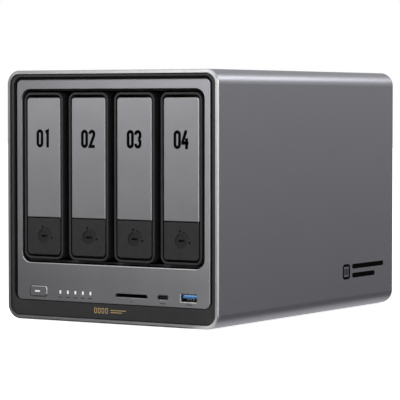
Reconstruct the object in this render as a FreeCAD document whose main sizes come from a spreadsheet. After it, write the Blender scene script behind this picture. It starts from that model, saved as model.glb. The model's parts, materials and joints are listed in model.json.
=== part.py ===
import FreeCAD, Part
import os
import re
import Sketcher
from FreeCAD import Vector

# Four-bay desktop storage enclosure, in millimetres.
# Origin: middle of the footprint, at the bottom of the rubber feet.
# The front faces -Y, +X is to the right seen from the front, +Z is up.

DIMENSIONS = {
    # whole enclosure
    "case_width": 178.0,
    "case_depth": 257.0,
    "case_height": 178.0,
    "foot_height": 0.6,
    "foot_radius": 9.0,
    "fit_clearance": 0.1,
    # aluminium sleeve
    "shell_wall": 2.5,
    "shell_radius": 10.0,
    "rim_chamfer": 0.8,
    "pad_bevel": 0.2,
    "boss_inset": 4.1,
    "boss_radius": 3.2,
    "boss_bore": 1.3,
    # bottom hatch
    "hatch_left": -70.0,
    "hatch_right": 10.0,
    "hatch_front": -54.0,
    "hatch_back": 44.0,
    "hatch_rebate": 1.4,
    "hatch_margin": 6.0,
    "hatch_sheet": 1.3,
    # front bezel frame and front plate
    "bezel_inset": 1.0,
    "bezel_depth": 7.5,
    "bezel_flange": 8.0,
    "bezel_bevel": 0.6,
    "plate_inset": 1.3,
    "plate_thickness": 2.0,
    "plate_width": 162.8,
    "plate_low": 14.2,
    "plate_high": 171.3,
    "plate_radius": 4.0,
    "groove_width": 2.2,
    "groove_depth": 3.7,
    "bay_width": 153.76,
    "bay_low": 41.2,
    "bay_high": 164.5,
    "bay_radius": 7.0,
    # drive trays
    "tray_pitch": 38.72,
    "tray_inset": 1.5,
    "tray_width": 33.62,
    "tray_low": 43.9,
    "tray_high": 162.2,
    "tray_radius": 5.5,
    "tray_rim": 1.6,
    "tub_depth": 15.0,
    "tub_floor": 2.5,
    "carrier_width": 32.4,
    "carrier_low": 44.5,
    "carrier_high": 161.9,
    "carrier_length": 148.0,
    "carrier_wall": 2.0,
    "rail_height": 6.9,
    "rail_groove": 24.0,
    "rail_groove_depth": 4.9,
    "ssd_hole_radius": 1.6,
    "ssd_length_spacing": 76.6,
    "ssd_width_spacing": 61.72,
    # tray handle
    "handle_inset": 1.6,
    "handle_width": 28.6,
    "handle_low": 73.6,
    "handle_high": 158.5,
    "handle_thickness": 2.5,
    "handle_corner": 2.2,
    "handle_bevel": 0.45,
    "pivot_inset": 4.5,
    "pivot_drop": 4.5,
    "ear_thickness": 2.2,
    "pin_radius": 1.5,
    "pin_clearance": 0.05,
    # tray latch and lock
    "latch_low": 47.0,
    "latch_high": 73.0,
    "latch_thickness": 2.5,
    "latch_corner": 3.0,
    "latch_bevel": 0.4,
    "latch_pin_radius": 1.2,
    "latch_pivot_drop": 4.0,
    "lock_height": 60.3,
    "lock_radius": 4.5,
    "lock_recess": 0.5,
    "lock_length": 8.6,
    # drive cage
    "cage_low": 43.0,
    "cage_high": 163.4,
    "cage_sheet": 1.2,
    "cage_length": 166.5,
    "divider_sheet": 1.0,
    "guide_width": 22.4,
    "guide_height": 5.6,
    # circuit boards
    "board_thickness": 1.6,
    "main_board_height": 14.0,
    "main_board_left": -84.0,
    "main_board_right": 24.0,
    "main_board_front": -60.0,
    "main_board_back": 121.0,
    # front controls and ports
    "port_height": 20.9,
    "button_across": -62.45,
    "button_width": 15.1,
    "button_tall": 7.6,
    "button_travel": 0.8,
    "button_bevel": 0.6,
    "led_first": -43.5,
    "led_pitch": 6.475,
    "led_width": 1.4,
    "led_tall": 2.4,
    "card_across": 17.25,
    "card_width": 26.7,
    "card_tall": 2.6,
    "usb_c_across": 43.3,
    "usb_c_width": 8.94,
    "usb_c_tall": 3.2,
    "usb_a_across": 64.5,
    "usb_a_height": 21.3,
    "usb_a_width": 13.1,
    "usb_a_tall": 5.7,
    # rear panel
    "panel_flange": 2.0,
    "panel_depth": 6.2,
    "panel_edge": 0.4,
    "filter_half_width": 76.0,
    "filter_low": 37.0,
    "filter_high": 169.0,
    "filter_recess": 4.2,
    "filter_border": 6.0,
    "strip_half_width": 78.0,
    "strip_low": 7.0,
    "strip_high": 33.0,
    "strip_recess": 1.5,
    # rear ports
    "jack_first": -69.0,
    "jack_pitch": 18.0,
    "jack_width": 16.0,
    "jack_tall": 13.5,
    "rear_usb_first": -34.0,
    "rear_usb_pitch": 14.5,
    "hdmi_across": 12.0,
    "reset_across": 22.0,
    "reset_height": 19.0,
    "inlet_across": 60.0,
    "inlet_height": 20.5,
    "inlet_width": 27.0,
    "inlet_tall": 19.8,
    # fan
    "fan_size": 140.0,
    "fan_depth": 25.0,
    "fan_height": 103.0,
    "fan_bore": 67.5,
    "fan_hole_spacing": 124.5,
    "fan_screw_hole": 2.2,
    "hub_radius": 21.0,
    "blade_tip": 65.5,
    "blade_count": 9.0,
    # power supply
    "supply_left": 27.0,
    "supply_right": 78.0,
    "supply_front": -35.0,
    "supply_back": 95.0,
    "supply_high": 37.0,
}

# Planes that many pieces share, as formulas of the cells above.
FRONT = "(-case_depth/2)"
BACK = "(case_depth/2)"
FLOOR = "(foot_height + shell_wall)"
CEILING = "(case_height - shell_wall)"
INNER = "(case_width/2 - shell_wall)"
BEZEL_BACK = "(-case_depth/2 + bezel_inset + bezel_depth)"
PLATE_FRONT = "(-case_depth/2 + plate_inset)"
PLATE_BACK = "(-case_depth/2 + plate_inset + plate_thickness)"
TRAY_FRONT = "(-case_depth/2 + tray_inset)"
TUB_BACK = "(-case_depth/2 + tray_inset + tub_depth)"
HANDLE_FRONT = "(-case_depth/2 + handle_inset)"
PIVOT_Y = "(-case_depth/2 + handle_inset + pivot_inset)"
HANDLE_PIVOT_Z = "(handle_high - pivot_drop)"
LATCH_PIVOT_Z = "(latch_high - latch_pivot_drop)"
CAGE_BACK = "(-case_depth/2 + bezel_inset + bezel_depth + cage_length)"
BOARD_TOP = "(main_board_height + board_thickness)"
IO_BOARD_TOP = "(port_height - 3.9)"
REAR_USB_HEIGHT = f"({BOARD_TOP} + usb_a_tall/2 + 1)"
HDMI_HEIGHT = f"({BOARD_TOP} + 4)"
PANEL_FRONT = "(case_depth/2 - panel_depth)"
FILTER_FLOOR = "(case_depth/2 - filter_recess)"
STRIP_FACE = "(case_depth/2 - strip_recess)"

TRAY_COUNT = 4
LED_COUNT = 5

doc = FreeCAD.newDocument("storage_enclosure")
sheet = doc.addObject("Spreadsheet::Sheet", "Sizes")
for row, (alias, number) in enumerate(DIMENSIONS.items(), start=1):
    sheet.set(f"A{row}", alias)
    sheet.set(f"B{row}", str(number))
    sheet.setAlias(f"B{row}", alias)
doc.recompute()

CELL = re.compile(r"\b(" + "|".join(DIMENSIONS) + r")\b")
PLANE_NORMAL = {"XY": "+Z", "XZ": "-Y", "YZ": "+X"}
AXES = "XYZ"
pieces = []


def value(formula):
    """The number that a formula of cell names gives."""
    return float(sheet.evalExpression(str(formula)))


def bind(item, prop, formula):
    """Ties one property of an object to a formula of cell names."""
    item.setExpression(prop, CELL.sub(r"Sizes.\1", str(formula)))


class Outline:
    """A sketch on one of a body's origin planes, drawn from bound shapes."""

    def __init__(self, body, plane, at):
        self.sketch = body.newObject("Sketcher::SketchObject", body.Label + "_outline")
        support = next(f for f in body.Origin.OriginFeatures if f.Role == plane + "_Plane")
        self.sketch.AttachmentSupport = [(support, "")]
        self.sketch.MapMode = "FlatFace"
        self.plane = plane
        # The XZ plane's normal is -Y, so its offset has the opposite sign.
        offset = f"-({at})" if plane == "XZ" else at
        bind(self.sketch, "AttachmentOffset.Base.z", offset)

    def hold(self, kind, geometry, point, formula):
        """Holds one point of the sketch at a bound distance from its origin."""
        distance = Sketcher.Constraint(kind, -1, 1, geometry, point, value(formula))
        self.name_and_bind(self.sketch.addConstraint(distance), formula)

    def name_and_bind(self, index, formula):
        name = f"size{index}"
        self.sketch.renameConstraint(index, name)
        bind(self.sketch, "Constraints." + name, formula)

    def polygon(self, corners):
        """A closed outline of straight sides through the given corners."""
        points = [Vector(value(across), value(up), 0) for across, up in corners]
        first = self.sketch.GeometryCount
        count = len(points)
        for index in range(count):
            side = Part.LineSegment(points[index], points[(index + 1) % count])
            self.sketch.addGeometry(side)
        for index in range(count):
            following = first + (index + 1) % count
            joint = Sketcher.Constraint("Coincident", first + index, 2, following, 1)
            self.sketch.addConstraint(joint)
        for index, (across, up) in enumerate(corners):
            self.hold("DistanceX", first + index, 1, across)
            self.hold("DistanceY", first + index, 1, up)
        return self

    def rectangle(self, left, right, low, high):
        """A closed rectangle."""
        corners = [(left, low), (right, low), (right, high), (left, high)]
        return self.polygon(corners)

    def rounded(self, left, right, low, high, radius):
        """A closed rectangle with its four corners rounded."""
        x0, x1, y0, y1 = (value(side) for side in (left, right, low, high))
        r = value(radius)
        first = self.sketch.GeometryCount
        turns = [(x1 - r, y0 + r), (x1 - r, y1 - r), (x0 + r, y1 - r), (x0 + r, y0 + r)]
        sides = [
            ((x0 + r, y0), (x1 - r, y0)),
            ((x1, y0 + r), (x1, y1 - r)),
            ((x1 - r, y1), (x0 + r, y1)),
            ((x0, y1 - r), (x0, y0 + r)),
        ]
        quarter = 1.5707963267948966
        for index, (start, end) in enumerate(sides):
            self.sketch.addGeometry(Part.LineSegment(Vector(*start, 0), Vector(*end, 0)))
            circle = Part.Circle(Vector(*turns[index], 0), Vector(0, 0, 1), r)
            begin = (index - 1) * quarter
            self.sketch.addGeometry(Part.ArcOfCircle(circle, begin, begin + quarter))
        for index in range(8):
            following = first + (index + 1) % 8
            joint = Sketcher.Constraint("Tangent", first + index, 2, following, 1)
            self.sketch.addConstraint(joint)
        for index, direction in enumerate(("Horizontal", "Vertical", "Horizontal", "Vertical")):
            self.sketch.addConstraint(Sketcher.Constraint(direction, first + 2 * index))
        self.hold("DistanceY", first, 1, low)
        self.hold("DistanceX", first + 2, 1, right)
        self.hold("DistanceY", first + 4, 1, high)
        self.hold("DistanceX", first + 6, 1, left)
        held = self.sketch.addConstraint(Sketcher.Constraint("Radius", first + 1, r))
        self.name_and_bind(held, radius)
        for index in (3, 5, 7):
            self.sketch.addConstraint(Sketcher.Constraint("Equal", first + 1, first + index))
        return self

    def slab(self, across, up, width, tall, radius=None):
        """A rectangle about its own centre, with rounded corners if a radius is given."""
        sides = [
            f"({across}) - ({width})/2",
            f"({across}) + ({width})/2",
            f"({up}) - ({tall})/2",
            f"({up}) + ({tall})/2",
        ]
        if radius is None:
            return self.rectangle(*sides)
        return self.rounded(*sides, radius)

    def circle(self, across, up, radius):
        """A circle."""
        centre = Vector(value(across), value(up), 0)
        circle = Part.Circle(centre, Vector(0, 0, 1), value(radius))
        index = self.sketch.addGeometry(circle)
        self.hold("DistanceX", index, 3, across)
        self.hold("DistanceY", index, 3, up)
        held = self.sketch.addConstraint(Sketcher.Constraint("Radius", index, value(radius)))
        self.name_and_bind(held, radius)
        return self


class Piece:
    """One sub-part: a PartDesign body whose features are bound to the sheet."""

    def __init__(self, node):
        self.body = doc.addObject("PartDesign::Body", node)
        self.body.Label = node
        self.body.AllowCompound = True
        self.cuts = []
        pieces.append(self)

    def outline(self, plane, at="0"):
        return Outline(self.body, plane, at)

    def front(self, at):
        """A sketch seen from the front, in the plane y = at."""
        return self.outline("XZ", at)

    def extrude(self, kind, outline, length, towards):
        feature = self.body.newObject("PartDesign::" + kind, self.body.Label + "_" + kind.lower())
        feature.Profile = outline.sketch
        along_normal = towards == PLANE_NORMAL[outline.plane]
        feature.Reversed = along_normal if kind == "Pocket" else not along_normal
        bind(feature, "Length", length)
        self.body.Tip = feature
        return feature

    def pad(self, outline, length, towards="+Y"):
        """Adds the outline's area, extruded by a length in a direction."""
        return self.extrude("Pad", outline, length, towards)

    def pocket(self, outline, length, towards="+Y"):
        """Cuts the outline's area away, and remembers the cut for the volume test."""
        feature = self.extrude("Pocket", outline, length, towards)
        self.cuts.append(feature)
        return feature

    def repeat(self, feature, axis, spacing, count):
        """Repeats a pad or pocket in a straight row."""
        row = self.body.newObject("PartDesign::LinearPattern", self.body.Label + "_row")
        line = next(f for f in self.body.Origin.OriginFeatures if f.Role == axis + "_Axis")
        row.Originals = [feature]
        row.Direction = (line, [""])
        bind(row, "Length", f"({spacing}) * ({count} - 1)")
        bind(row, "Occurrences", count)
        self.body.Tip = row

    def turn(self, feature, axis, count):
        """Repeats a pad or pocket round one of the body's axes."""
        ring = self.body.newObject("PartDesign::PolarPattern", self.body.Label + "_ring")
        line = next(f for f in self.body.Origin.OriginFeatures if f.Role == axis + "_Axis")
        ring.Originals = [feature]
        ring.Axis = (line, [""])
        ring.Angle = 360
        bind(ring, "Occurrences", count)
        self.body.Tip = ring

    def dress(self, kind, prop, size, chosen):
        """Rounds or bevels the edges that the test picks."""
        doc.recompute()
        base = self.body.Tip
        names = [f"Edge{i + 1}" for i, edge in enumerate(base.Shape.Edges) if chosen(edge)]
        if not names:
            raise ValueError(f"{self.body.Label}: no edge to dress")
        feature = self.body.newObject("PartDesign::" + kind, self.body.Label + "_" + kind.lower())
        feature.Base = (base, names)
        bind(feature, prop, size)
        self.body.Tip = feature

    def fillet(self, radius, chosen):
        self.dress("Fillet", "Radius", radius, chosen)

    def chamfer(self, size, chosen):
        self.dress("Chamfer", "Size", size, chosen)

    def face_edges(self, axis, at, outer=True, inner=False):
        """A test that picks the edges round the flat faces that lie at one position."""
        doc.recompute()
        place = value(at)
        number = AXES.index(axis)
        picked = []
        for face in self.body.Tip.Shape.Faces:
            box = face.BoundBox
            low = (box.XMin, box.YMin, box.ZMin)[number]
            high = (box.XMax, box.YMax, box.ZMax)[number]
            if abs(low - place) > 1e-4 or abs(high - place) > 1e-4:
                continue
            for wire in face.Wires:
                is_outer = wire.isSame(face.OuterWire)
                if (is_outer and outer) or (not is_outer and inner):
                    picked.extend(wire.Edges)
        return lambda edge: any(edge.isSame(other) for other in picked)

    def place(self, **where):
        """Moves the whole piece by bound distances along the named axes."""
        for axis, formula in where.items():
            bind(self.body, "Placement.Base." + axis, formula)


def corner_posts(outline, half_width, low, high, radius):
    """Four circles, one near each corner of an upright rectangle."""
    for side in ("-", ""):
        for up in (low, high):
            outline.circle(f"{side}({half_width})", up, radius)
    return outline


# ---------------------------------------------------------------- casing

def outer_shell():
    """Aluminium sleeve, open at the front and back, with the hatch hole in its floor."""
    piece = Piece("outer_shell")
    ring = piece.front(FRONT)
    ring.rounded("-case_width/2", "case_width/2", "foot_height", "case_height", "shell_radius")
    ring.rounded(f"-{INNER}", INNER, FLOOR, CEILING, "shell_radius - shell_wall")
    piece.pad(ring, "case_depth - panel_flange")
    piece.chamfer("rim_chamfer", piece.face_edges("Y", FRONT))
    screw_posts = piece.front("-case_depth/2 + 20.5")
    boss_low = f"{FLOOR} + boss_inset"
    boss_high = f"{CEILING} - boss_inset"
    corner_posts(screw_posts, f"{INNER} - boss_inset", boss_low, boss_high, "boss_radius")
    piece.pad(screw_posts, f"{PANEL_FRONT} - 0.5 + case_depth/2 - 20.5")
    bores = piece.front(PANEL_FRONT)
    corner_posts(bores, f"{INNER} - boss_inset", boss_low, boss_high, "boss_bore")
    piece.pocket(bores, "case_depth", "-Y")
    rebate = piece.outline("XY", "foot_height")
    rebate.rounded("hatch_left", "hatch_right", "hatch_front", "hatch_back", "4")
    piece.pocket(rebate, "hatch_rebate", "+Z")
    hole = piece.outline("XY", "foot_height")
    hole.rounded("hatch_left + hatch_margin", "hatch_right - hatch_margin",
                 "hatch_front + hatch_margin", "hatch_back - hatch_margin", "3")
    piece.pocket(hole, "shell_wall + 1", "+Z")
    taps = piece.outline("XY", "foot_height")
    hatch_corners(taps, "1.25")
    piece.pocket(taps, "shell_wall + 1", "+Z")


def hatch_corners(outline, radius):
    """Four circles at the hatch's screw places."""
    for across in ("hatch_left + hatch_margin/2", "hatch_right - hatch_margin/2"):
        for along in ("hatch_front + hatch_margin/2", "hatch_back - hatch_margin/2"):
            outline.circle(across, along, radius)
    return outline


def bottom_hatch():
    """Sheet cover under the memory sockets, with a row of air slots."""
    piece = Piece("bottom_hatch")
    sheet_outline = piece.outline("XY", "foot_height")
    sheet_outline.rounded("hatch_left + 0.3", "hatch_right - 0.3",
                          "hatch_front + 0.3", "hatch_back - 0.3", "3.7")
    piece.pad(sheet_outline, "hatch_sheet", "+Z")
    middle = "(hatch_left + hatch_right)/2"
    slot = piece.outline("XY", "foot_height").slab(middle, "hatch_front + 20", "46", "3", "1.4")
    air = piece.pocket(slot, "shell_wall", "+Z")
    piece.repeat(air, "Y", "6.5", "10")
    heads = hatch_corners(piece.outline("XY", "foot_height"), "2.5")
    piece.pocket(heads, "0.9", "+Z")
    shanks = hatch_corners(piece.outline("XY", "foot_height"), "1.35")
    piece.pocket(shanks, "shell_wall", "+Z")


def hatch_screws():
    """Four screws that hold the hatch, their heads sunk flush."""
    piece = Piece("hatch_screws")
    heads = hatch_corners(piece.outline("XY", "foot_height + 0.1"), "2.4")
    piece.pad(heads, "0.8", "+Z")
    shanks = hatch_corners(piece.outline("XY", "foot_height + 0.9"), "1.2")
    piece.pad(shanks, "3.4", "+Z")
    hex_sockets = hatch_corners(piece.outline("XY", "foot_height + 0.1"), "0.9")
    piece.pocket(hex_sockets, "0.6", "+Z")


def rubber_feet():
    """Four low round feet under the sleeve."""
    piece = Piece("rubber_feet")
    discs = piece.outline("XY", "0")
    corner_posts(discs, "case_width/2 - 21", "-case_depth/2 + 23.5", "case_depth/2 - 23.5",
                 "foot_radius")
    piece.pad(discs, "foot_height", "+Z")
    piece.chamfer("pad_bevel", piece.face_edges("Z", "0"))


# ---------------------------------------------------------------- front

def port_holes(outline, spare):
    """The holes for the lights and ports, larger than them by a spare width all round."""
    for index in range(LED_COUNT):
        outline.slab(f"led_first + {index}*led_pitch", "port_height",
                     f"led_width + 2*{spare}", f"led_tall + 2*{spare}", f"0.4 + {spare}")
    outline.slab("card_across", "port_height - 0.2", f"card_width + 2*{spare}",
                 f"card_tall + 2*{spare}", f"card_tall/2 - 0.05 + {spare}")
    outline.slab("usb_c_across", "port_height", f"usb_c_width + 2*{spare}",
                 f"usb_c_tall + 2*{spare}", f"usb_c_tall/2 - 0.05 + {spare}")
    outline.slab("usb_a_across", "usb_a_height", f"usb_a_width + 2*{spare}",
                 f"usb_a_tall + 2*{spare}", f"0.4 + {spare}")


def front_bezel_frame():
    """Dark moulded frame inside the sleeve's mouth, with the groove round the front plate."""
    piece = Piece("front_bezel_frame")
    edge = f"({INNER} - fit_clearance)"
    low = f"({FLOOR} + fit_clearance)"
    high = f"({CEILING} - fit_clearance)"
    radius = "(shell_radius - shell_wall - fit_clearance)"
    front = f"({FRONT} + bezel_inset)"
    block = piece.front(front).rounded(f"-{edge}", edge, low, high, radius)
    piece.pad(block, "bezel_depth")
    piece.chamfer("bezel_bevel", piece.face_edges("Y", front))
    flange = piece.front(BEZEL_BACK).rounded(f"-{edge}", edge, low, high, radius)
    flange.rounded(f"-{edge} + 2.5", f"{edge} - 2.5", f"{low} + 2.5", f"{high} - 2.5",
                   f"{radius} - 2.5")
    piece.pad(flange, "bezel_flange")
    groove_edge = "(plate_width/2 + groove_width)"
    groove_radius = "(plate_radius + groove_width)"
    seat = piece.front(front).rounded(f"-{groove_edge}", groove_edge, "plate_low - 0.15",
                                      "plate_high + groove_width", groove_radius)
    piece.pocket(seat, f"{PLATE_BACK} - {front}")
    groove = piece.front(PLATE_BACK).rounded(f"-{groove_edge}", groove_edge, "plate_low - 0.15",
                                             "plate_high + groove_width", groove_radius)
    groove.rounded("-plate_width/2 + 0.8", "plate_width/2 - 0.8", "plate_low + 1.2",
                   "plate_high - 0.8", "plate_radius - 0.8")
    piece.pocket(groove, "groove_depth")
    mouth = piece.front(front)
    mouth.rounded("-2*tray_pitch", "2*tray_pitch", "bay_low - 0.25", "bay_high + 0.25", "3")
    mouth.slab("button_across", "port_height", "button_width + 2.1", "button_tall + 2.1", "2.6")
    port_holes(mouth, "0.45")
    piece.pocket(mouth, "bezel_depth + 1")


def front_plate():
    """Metal front plate with the bay opening and the holes for the controls and ports."""
    piece = Piece("front_plate")
    sheet_outline = piece.front(PLATE_FRONT)
    sheet_outline.rounded("-plate_width/2", "plate_width/2", "plate_low", "plate_high",
                          "plate_radius")
    piece.pad(sheet_outline, "plate_thickness")
    bay = piece.front(PLATE_FRONT)
    bay.rounded("-bay_width/2", "bay_width/2", "bay_low", "bay_high", "bay_radius")
    piece.pocket(bay, "plate_thickness + 1")
    piece.chamfer("0.5", piece.face_edges("Y", PLATE_FRONT, outer=True, inner=True))
    holes = piece.front(PLATE_FRONT)
    holes.slab("button_across", "port_height", "button_width + 0.5", "button_tall + 0.5", "2.2")
    port_holes(holes, "0.15")
    piece.pocket(holes, "plate_thickness + 1")


def power_button():
    """Push button cap with a flange behind the plate and a stem to its switch."""
    piece = Piece("power_button")
    cap = piece.front(f"{PLATE_FRONT} - 0.3")
    cap.slab("button_across", "port_height", "button_width", "button_tall", "2")
    piece.pad(cap, "plate_thickness + 0.6")
    piece.chamfer("button_bevel", piece.face_edges("Y", f"{PLATE_FRONT} - 0.3"))
    flange = piece.front(f"{PLATE_BACK} + 0.3")
    flange.slab("button_across", "port_height", "button_width + 1.2", "button_tall + 1.2", "2.2")
    piece.pad(flange, "1.2")
    stem = piece.front(f"{PLATE_BACK} + 1.5").circle("button_across", "port_height", "1.6")
    piece.pad(stem, f"-115.2 - {PLATE_BACK} - 1.5")
    window = piece.front(f"{PLATE_FRONT} - 1")
    window.slab("button_across - 0.95", "port_height - 0.1", "4.5", "1.1", "0.5")
    piece.pocket(window, "3.4")


def power_button_light():
    """Light pipe set in the button cap."""
    piece = Piece("power_button_light")
    lens = piece.front(f"{PLATE_FRONT} - 0.25")
    lens.slab("button_across - 0.95", "port_height - 0.1", "4.4", "1.0", "0.45")
    piece.pad(lens, "2.6")


def power_switch():
    """Push switch on the front board, behind the power button's stem."""
    piece = Piece("power_switch")
    block = piece.front("-113").slab("button_across", "port_height - 0.4", "7", "7")
    piece.pad(block, "5")
    plunger = piece.front("-114.2").circle("button_across", "port_height", "1.5")
    piece.pad(plunger, "1.2")


def led_light_pipes():
    """Five clear light pipes that end flush in the front plate."""
    piece = Piece("led_light_pipes")
    ends = piece.front(f"{PLATE_FRONT} + 0.05")
    for index in range(LED_COUNT):
        ends.slab(f"led_first + {index}*led_pitch", "port_height", "led_width", "led_tall", "0.4")
    piece.pad(ends, f"-116 - {PLATE_FRONT} - 0.05")


def front_io_board():
    """Level circuit board behind the front plate, under its ports and lights."""
    piece = Piece("front_io_board")
    board = piece.outline("XY", f"{IO_BOARD_TOP} - board_thickness")
    board.rectangle("-76", "76", "-118", "-92")
    piece.pad(board, "board_thickness", "+Z")
    chips = piece.outline("XY", IO_BOARD_TOP)
    chips.rectangle("-40", "-30", "-108", "-98").rectangle("-22", "-14", "-106", "-98")
    for index in range(LED_COUNT):
        chips.slab(f"led_first + {index}*led_pitch", "-114", "1.6", "3")
    piece.pad(chips, "1.4", "+Z")


def sd_card_slot():
    """Card socket: a slim nose that reaches the front plate and a metal body behind it."""
    piece = Piece("sd_card_slot")
    nose = piece.front(f"{PLATE_FRONT} + 0.5")
    nose.slab("card_across", "port_height - 0.2", "card_width", "card_tall", "card_tall/2 - 0.05")
    piece.pad(nose, f"-119 - {PLATE_FRONT} - 0.5")
    block = piece.front("-119").rectangle("card_across - 14", "card_across + 14", IO_BOARD_TOP,
                                          "port_height + 2.2")
    piece.pad(block, "26")
    slot = piece.front(f"{PLATE_FRONT} - 1")
    slot.slab("card_across", "port_height - 0.2", "24.4", "2.1")
    piece.pocket(slot, "29")


def usb_c_port():
    """Oval socket with a thin tongue inside."""
    piece = Piece("usb_c_port")
    tube = piece.front(f"{PLATE_FRONT} + 0.3")
    tube.slab("usb_c_across", "port_height", "usb_c_width", "usb_c_tall", "usb_c_tall/2 - 0.05")
    piece.pad(tube, f"-112 - {PLATE_FRONT} - 0.3")
    base = piece.front("-119").rectangle("usb_c_across - 5", "usb_c_across + 5", IO_BOARD_TOP,
                                         "port_height + 1.7")
    piece.pad(base, "8")
    mouth = piece.front(f"{PLATE_FRONT} - 1")
    mouth.slab("usb_c_across", "port_height", "usb_c_width - 0.6", "usb_c_tall - 0.64", "1.2")
    piece.pocket(mouth, "8")
    tongue = piece.front(f"{PLATE_FRONT} + 1.2").slab("usb_c_across", "port_height", "6.7", "0.7")
    piece.pad(tongue, "6.5")


def usb_socket(node, across, height, front, towards, base_low):
    """A rectangular port: a sheet tube, a tongue in its upper half and a foot to the board."""
    piece = Piece(node)
    back = {"+Y": "", "-Y": "-"}[towards]
    tube = piece.front(front)
    for place in across:
        tube.slab(place, height, "usb_a_width", "usb_a_tall", "0.5")
    piece.pad(tube, "14.5", towards)
    mouth = piece.front(f"({front}) - {back}1")
    for place in across:
        mouth.slab(place, height, "usb_a_width - 0.8", "usb_a_tall - 0.8", "0.3")
    piece.pocket(mouth, "12", towards)
    tongue = piece.front(f"({front}) + {back}1.5")
    for place in across:
        tongue.slab(place, f"{height} + 0.95", "11.1", "1.9")
    piece.pad(tongue, "10", towards)
    foot = piece.front(f"({front}) + {back}9")
    for place in across:
        foot.rectangle(f"({place}) - 5", f"({place}) + 5", base_low, f"{height} - usb_a_tall/2 + 0.2")
    piece.pad(foot, "5", towards)


# ---------------------------------------------------------------- trays

def tray_bezel(node, across):
    """Dark tub at the front of a tray, with the pins of its handle and latch."""
    piece = Piece(node)
    tub = piece.front(TRAY_FRONT)
    tub.rounded("-tray_width/2", "tray_width/2", "tray_low", "tray_high", "tray_radius")
    piece.pad(tub, "tub_depth")
    hollow = piece.front(TRAY_FRONT)
    hollow.rounded("-tray_width/2 + tray_rim", "tray_width/2 - tray_rim", "tray_low + tray_rim",
                   "tray_high - tray_rim", "tray_radius - tray_rim + 0.1")
    piece.pocket(hollow, "tub_depth - tub_floor")
    piece.chamfer("0.35", piece.face_edges("Y", TRAY_FRONT, outer=True, inner=True))
    air = piece.front(TRAY_FRONT)
    for side in ("-", ""):
        air.slab(f"{side}7", "115", "6", "62", "2.9")
    piece.pocket(air, "tub_depth + 1")
    for inward, plane_at in (("+X", "-tray_width/2 + tray_rim - 0.4"),
                             ("-X", "tray_width/2 - tray_rim + 0.4")):
        pins = piece.outline("YZ", plane_at)
        pins.circle(PIVOT_Y, HANDLE_PIVOT_Z, "pin_radius")
        pins.circle(PIVOT_Y, LATCH_PIVOT_Z, "latch_pin_radius")
        piece.pad(pins, "3", inward)
    piece.place(x=across)


def tray_carrier(node, across):
    """Cradle that holds a drive on its side, with a groove above and below for the guides."""
    piece = Piece(node)
    block = piece.front(TUB_BACK)
    block.rectangle("-carrier_width/2", "carrier_width/2", "carrier_low", "carrier_high")
    piece.pad(block, "carrier_length")
    drive = piece.front(f"{TUB_BACK} + 3")
    drive.rectangle("-carrier_width/2 + carrier_wall", "carrier_width/2 + 1",
                    "carrier_low + rail_height", "carrier_high - rail_height")
    piece.pocket(drive, "carrier_length")
    grooves = piece.front(f"{TUB_BACK} + 3")
    grooves.rectangle("-rail_groove/2", "rail_groove/2", "carrier_low - 1",
                      "carrier_low + rail_groove_depth")
    grooves.rectangle("-rail_groove/2", "rail_groove/2", "carrier_high - rail_groove_depth",
                      "carrier_high + 1")
    piece.pocket(grooves, "carrier_length")
    middle = "(carrier_low + carrier_high)/2"
    windows = piece.outline("YZ", "-carrier_width/2 - 1")
    for centre in ("-76", "-56.7", "-37.4"):
        windows.slab(centre, middle, "13", "88", "3")
    windows.slab("12", middle, "34", "88", "3")
    for along in ("-56.7 - ssd_length_spacing/2", "-56.7 + ssd_length_spacing/2"):
        for up in (f"{middle} - ssd_width_spacing/2", f"{middle} + ssd_width_spacing/2"):
            windows.circle(along, up, "ssd_hole_radius")
    piece.pocket(windows, "carrier_wall + 2", "+X")
    air = piece.front(f"{TUB_BACK} - 1")
    for side in ("-", ""):
        air.slab(f"{side}7", "115", "6", "62", "2.9")
    piece.pocket(air, "6")
    piece.place(x=across)


def tray_handle(node, across):
    """Light metal handle plate, hung from two ears near its top."""
    piece = Piece(node)
    face = piece.front(HANDLE_FRONT)
    face.rectangle("-handle_width/2", "handle_width/2", "handle_low", "handle_high")
    piece.pad(face, "handle_thickness")
    top = value("handle_high")
    piece.fillet("handle_corner", lambda edge: abs(edge.BoundBox.ZMin - top) < 1e-4
                 and edge.BoundBox.YLength > 1)
    piece.chamfer("handle_bevel", piece.face_edges("Y", HANDLE_FRONT))
    for side, inward in (("-", "+X"), ("", "-X")):
        ear = piece.outline("YZ", f"{side}handle_width/2")
        back = f"{PIVOT_Y} + 3"
        start = f"{HANDLE_FRONT} + handle_thickness - 0.5"
        ear.polygon([
            (start, f"{HANDLE_PIVOT_Z} - 7"),
            (back, f"{HANDLE_PIVOT_Z} - 3"),
            (back, f"{HANDLE_PIVOT_Z} + 2"),
            (f"{back} - 2", f"{HANDLE_PIVOT_Z} + 3.6"),
            (start, f"{HANDLE_PIVOT_Z} + 3.6"),
        ])
        piece.pad(ear, "ear_thickness", inward)
        bore = piece.outline("YZ", f"{side}(handle_width/2 + 1)")
        bore.circle(PIVOT_Y, HANDLE_PIVOT_Z, "pin_radius + pin_clearance")
        piece.pocket(bore, "ear_thickness + 2", inward)
    grip = piece.front(f"{HANDLE_FRONT} + handle_thickness - 0.5")
    grip.rectangle("-handle_width/2 + 1", "handle_width/2 - 1", "handle_low + 0.4",
                   "handle_low + 4.4")
    piece.pad(grip, "3")
    ribs = piece.front(f"{HANDLE_FRONT} + handle_thickness - 0.5")
    for side in ("-", ""):
        ribs.slab(f"{side}9", "(handle_low + handle_high)/2 - 3", "1.4", "66")
    piece.pad(ribs, "2")
    piece.place(x=across)


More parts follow.
